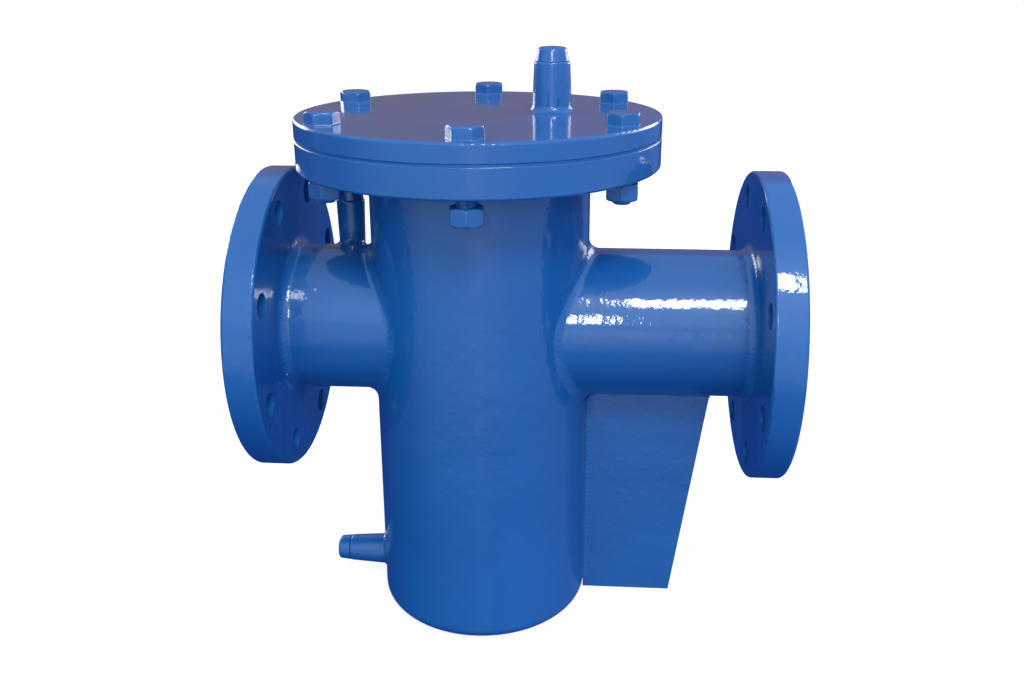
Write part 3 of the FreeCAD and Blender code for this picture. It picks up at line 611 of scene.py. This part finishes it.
def add_fasteners():
    """Six painted bolts and six painted nuts, each set gathered into one piece."""
    heads, nuts = ([], []), ([], [])
    for number, (head_turn, nut_turn) in enumerate(zip(HEAD_TURNS, NUT_TURNS)):
        angle = math.radians(FIRST_BOLT + 60 * number)
        spot = Vector((math.cos(angle), math.sin(angle), 0)) * BOLT_CIRCLE_RADIUS
        gap = FRONT_NUT_GAP if number == 0 else NUT_GAP
        for store, height, turn, outline in (
                (heads, COVER_TOP, head_turn, bolt_outline),
                (nuts, RING_BASE - NUT_HEIGHT - gap, nut_turn, nut_outline)):
            points, faces = skin(spot + UP * height, turn, outline)
            first = len(store[0])
            store[0].extend(points)
            store[1].extend([tuple(first + index for index in face) for face in faces])
    add_piece("cover_bolts_painted", *heads, "bolts", "blue_enamel", ["cover_bolts"], crease=50)
    add_piece("cover_nuts_painted", *nuts, "nuts", "blue_enamel", ["cover_nuts"], crease=50)


# ---- basket ----------------------------------------------------------------------------------

SEAT_SLOPE = math.radians(40)
SEAT_GAP = 0.2 * MM
HOLES_ROUND = 46
PLAIN_EDGE = 9 * MM
HOLE_RADIUS_IN_PITCHES = 0.31
SHEET_THICKNESS = 1.5 * MM


def add_basket_sheet():
    """Perforated sheet rolled into the basket: hexagon cells with round holes in a stagger."""
    radius, base = half("basket_shell", 0), low("basket_shell", 2)
    rim_normal = Vector((-math.sin(SEAT_SLOPE), 0, math.cos(SEAT_SLOPE)))
    seat = BRANCH_CENTRE + rim_normal * SEAT_GAP
    pitch = TAU * radius / HOLES_ROUND
    row_step = pitch * math.sqrt(3) / 2
    rows = int((high("basket_shell", 2) - base) / row_step) + 3
    sheet = bmesh.new()
    for row in range(rows):
        for column in range(HOLES_ROUND):
            across, height = (column + 0.5 * (row % 2)) * pitch, base + (row - 0.5) * row_step
            angle = across / radius
            centre = Vector((radius * math.cos(angle), radius * math.sin(angle), height))
            above_seat = (centre - seat).dot(rim_normal)
            if above_seat > pitch:
                continue
            plain = above_seat > -PLAIN_EDGE or height < base + PLAIN_EDGE
            add_cell(sheet, across, height, pitch, radius, plain)
    bmesh.ops.remove_doubles(sheet, verts=sheet.verts, dist=0.02 * MM)
    for spot, outward in ((UP * base, -UP), (seat, rim_normal)):
        bmesh.ops.bisect_plane(sheet, geom=sheet.verts[:] + sheet.edges[:] + sheet.faces[:],
                               plane_co=spot, plane_no=outward, clear_outer=True)
    bmesh.ops.recalc_face_normals(sheet, faces=sheet.faces)
    points = [vert.co.copy() for vert in sheet.verts]
    sheet.verts.index_update()
    faces = [[vert.index for vert in face.verts] for face in sheet.faces]
    sheet.free()
    piece = add_piece("basket_perforated_sheet", points, faces, "basket", "stainless",
                      ["basket_shell"], crease=50)
    wall = piece.modifiers.new("wall", "SOLIDIFY")
    wall.thickness, wall.offset = SHEET_THICKNESS, -1.0


def add_cell(sheet, across, height, pitch, radius, plain):
    """One hexagon of sheet, with a round hole or plain, rolled onto the basket's radius."""
    corner = pitch / math.sqrt(3)
    hole = HOLE_RADIUS_IN_PITCHES * pitch

    def rolled(reach, angle):
        angle_round = (across + reach * math.cos(angle)) / radius
        return sheet.verts.new((radius * math.cos(angle_round), radius * math.sin(angle_round),
                                height + reach * math.sin(angle)))

    rim = []
    for side in range(6):
        rim.append(rolled(corner, math.radians(60 * side + 30)))
        rim.append(rolled(corner * math.cos(math.radians(30)), math.radians(60 * side + 60)))
    if plain:
        sheet.faces.new(rim)
        return
    edge = [rolled(hole, math.radians(30 * step + 30)) for step in range(12)]
    for step in range(12):
        beside = (step + 1) % 12
        sheet.faces.new((rim[step], rim[beside], edge[beside], edge[step]))


# ---- studio ----------------------------------------------------------------------------------

STUDIO_RADIUS = 30.0
# Name, azimuth and elevation in degrees, distance, width and height in metres, radiance.
SOFT_BOXES = (
    ("key", 16.5, 46, 2.2, 0.54, 0.45, 25),
    ("second_key", 1.5, 20, 2.2, 0.16, 0.50, 26),
    ("back_left", -135, 14, 2.4, 1.4, 0.9, 4),
    ("back_right", 135, 14, 2.4, 1.4, 0.9, 4),
)


def toward(azimuth, elevation):
    """Unit vector from the object: azimuth 0 points to the front, positive to the right."""
    across, up = math.radians(azimuth), math.radians(elevation)
    return Vector((math.sin(across) * math.cos(up), -math.cos(across) * math.cos(up),
                   math.sin(up)))


def area_light(name, azimuth, elevation, distance, width, height, radiance):
    """A soft box that faces the middle of the object; radiance is how bright it looks."""
    direction = toward(azimuth, elevation)
    data = bpy.data.lights.new(name, "AREA")
    data.shape = "RECTANGLE"
    data.size, data.size_y = width, height
    data.energy = radiance * math.pi * width * height
    lamp = bpy.data.objects.new(name, data)
    bpy.context.scene.collection.objects.link(lamp)
    lamp.location = BRANCH_CENTRE + direction * distance
    lamp.rotation_euler = direction.to_track_quat("Z", "Y").to_euler()


def only_for_camera(backdrop):
    """The pale surroundings stay out of the paint's reflections, as round a dim room."""
    backdrop.visible_glossy = False
    backdrop.visible_diffuse = False
    backdrop.visible_transmission = False


def make_floor():
    """A pale floor that glows as evenly as the dome, and still takes the object's shadow."""
    graph = Graph.material("studio_floor")
    tone = graph.ramp(graph.noise(0.5, 2.0), 0.3, 0.7)
    graph.set(Base_Color=graph.mix(tone, rgb(0.42, 0.38, 0.37), rgb(0.46, 0.42, 0.41)),
              Roughness=0.9, Emission_Color=rgb(1.0, 1.0, 1.0), Emission_Strength=0.74)
    bpy.ops.mesh.primitive_circle_add(vertices=96, radius=STUDIO_RADIUS, fill_type="NGON")
    floor = bpy.context.object
    floor.name = "studio_floor"
    floor.data.materials.append(graph.result)
    only_for_camera(floor)


def make_dome():
    """A pale dome that closes the view above the floor."""
    graph = Graph.material("studio_dome")
    tone = graph.ramp(graph.noise(6.0, 2.0), 0.3, 0.7)
    graph.set(Base_Color=rgb(0, 0, 0), Specular_IOR_Level=0.0, Emission_Strength=1.05,
              Emission_Color=graph.mix(tone, rgb(0.97, 0.97, 0.98), rgb(1.0, 1.0, 1.0)))
    bpy.ops.mesh.primitive_uv_sphere_add(segments=48, ring_count=24, radius=STUDIO_RADIUS)
    dome = bpy.context.object
    dome.name = "studio_dome"
    dome.data.materials.append(graph.result)
    dome.visible_shadow = False
    only_for_camera(dome)


def front_light(graph, across, depth, height, sideways):
    """How far a direction looks into the bright side in front, and the colour of that side."""
    tilted = graph.math("SUBTRACT", depth, graph.times(height, 0.45))
    tilted = graph.math("SUBTRACT", tilted, graph.times(across, 0.35))
    facing = graph.times(graph.ramp(tilted, 0.45, -0.40, smooth=True),
                         graph.ramp(height, -0.58, -0.24, 0.16, 1.0, smooth=True))
    left, centre, right = rgb(0.53, 0.78, 0.90), rgb(0.65, 0.77, 0.88), rgb(0.46, 0.63, 0.90)
    beside = graph.mix(graph.ramp(across, -0.4, 0.4), left, right)
    return facing, graph.mix(graph.ramp(sideways, 0.15, 0.60, smooth=True), centre, beside)


def room_shade(graph, across, depth, height):
    """Away from the front: the floor below, a dim room at eye level, a pale ceiling above."""
    near_floor, far_floor = rgb(0.13, 0.17, 0.42), rgb(0.012, 0.05, 0.27)
    right_floor = rgb(0.10, 0.22, 0.62)
    room, ceiling = rgb(0.09, 0.12, 0.34), rgb(0.40, 0.56, 0.88)
    dim = graph.math("MAXIMUM", graph.ramp(depth, 0.15, 0.60, smooth=True),
                     graph.ramp(height, -0.30, -0.52, smooth=True))
    shade = graph.mix(dim, near_floor, far_floor)
    shade = graph.mix(graph.ramp(across, 0.25, 0.55, smooth=True), shade, right_floor)
    shade = graph.mix(graph.ramp(height, -0.15, 0.10, smooth=True), shade, room)
    return graph.mix(graph.ramp(height, 0.33, 0.65, smooth=True), shade, ceiling)


def back_wall(graph, across, depth, height):
    """How far a direction looks at the dim warm wall behind the object, and its colour."""
    on_wall = graph.times(graph.ramp(depth, 0.35, 0.75, smooth=True),
                          graph.ramp(height, 0.01, 0.06, smooth=True),
                          graph.ramp(height, 0.35, 0.62, 1.0, 0.0, smooth=True))
    left, right = rgb(0.225, 0.152, 0.10), rgb(0.220, 0.152, 0.27)
    return on_wall, graph.mix(graph.ramp(across, -0.35, 0.45, smooth=True), left, right)


def front_glow(graph, depth, height, sideways):
    """The narrow upright glow straight ahead, brightest at the horizon and gone above it."""
    return graph.times(graph.ramp(sideways, 0.02, 0.16, 1.0, 0.0, smooth=True),
                       graph.ramp(depth, -0.55, -0.75, smooth=True),
                       graph.ramp(height, -0.30, -0.02, 0.07, 0.7, smooth=True),
                       graph.ramp(height, 0.02, 0.12, 1.0, 0.0, smooth=True))


def make_world():
    """A room that the paint reflects: bright in front, a dim warm wall behind, blue shade below.

    A direction is told by across (positive to the right), depth (positive to the back) and
    height; sideways is its distance across from the middle of the front.
    """
    world = bpy.data.worlds.new("studio")
    bpy.context.scene.world = world
    world.use_nodes = True
    graph = Graph(world.node_tree)
    background = graph.add("ShaderNodeBackground")
    graph.join(background.outputs["Background"],
               graph.add("ShaderNodeOutputWorld").inputs["Surface"])
    way = graph.split(graph.add("ShaderNodeTexCoord").outputs["Generated"])
    across, depth, height = way["X"], way["Y"], way["Z"]
    sideways = graph.math("ABSOLUTE", graph.math("SUBTRACT", across, 0.04))
    facing, tint = front_light(graph, across, depth, height, sideways)
    light = graph.mix(facing, room_shade(graph, across, depth, height), tint)
    above = graph.times(facing, graph.ramp(height, 0.05, 0.30, 0.0, 0.42, smooth=True),
                        graph.ramp(height, 0.60, 0.80, 1.0, 0.4, smooth=True))
    light = graph.mix(above, light, tint, blend="ADD")
    on_wall, wall_tone = back_wall(graph, across, depth, height)
    light = graph.mix(on_wall, light, wall_tone)
    glow = front_glow(graph, depth, height, sideways)
    light = graph.mix(glow, light, rgb(1.0, 1.0, 1.0), blend="ADD")
    graph.join(light, background.inputs["Color"])
    background.inputs["Strength"].default_value = 1.0


def make_camera():
    """The eye stands in front, a little to the right and above the flanges."""
    azimuth, elevation, roll = 3.68, 17.51, math.radians(-0.04)
    distance = 775.9 * MM
    target = BRANCH_CENTRE + Vector((34.0, 0.0, 30.6)) * MM
    back = toward(azimuth, elevation)
    data = bpy.data.cameras.new("camera")
    data.sensor_width = 36.0
    data.lens = 34.81
    data.shift_x, data.shift_y = -0.0122, -0.0583
    camera = bpy.data.objects.new("camera", data)
    bpy.context.scene.collection.objects.link(camera)
    right = (-back).cross(UP).normalized()
    up = right.cross(-back)
    turned_right = right * math.cos(roll) + up * math.sin(roll)
    turned_up = up * math.cos(roll) - right * math.sin(roll)
    axes = Matrix((turned_right, turned_up, back)).transposed()
    camera.matrix_world = Matrix.Translation(target + back * distance) @ axes.to_4x4()
    bpy.context.scene.camera = camera


dress_nodes()
add_round_welds()
add_stub_welds()
add_plate_welds()
add_fasteners()
add_basket_sheet()
make_floor()
make_dome()
make_world()
for soft_box in SOFT_BOXES:
    area_light(*soft_box)
make_camera()
bpy.context.scene.view_settings.view_transform = "Standard"
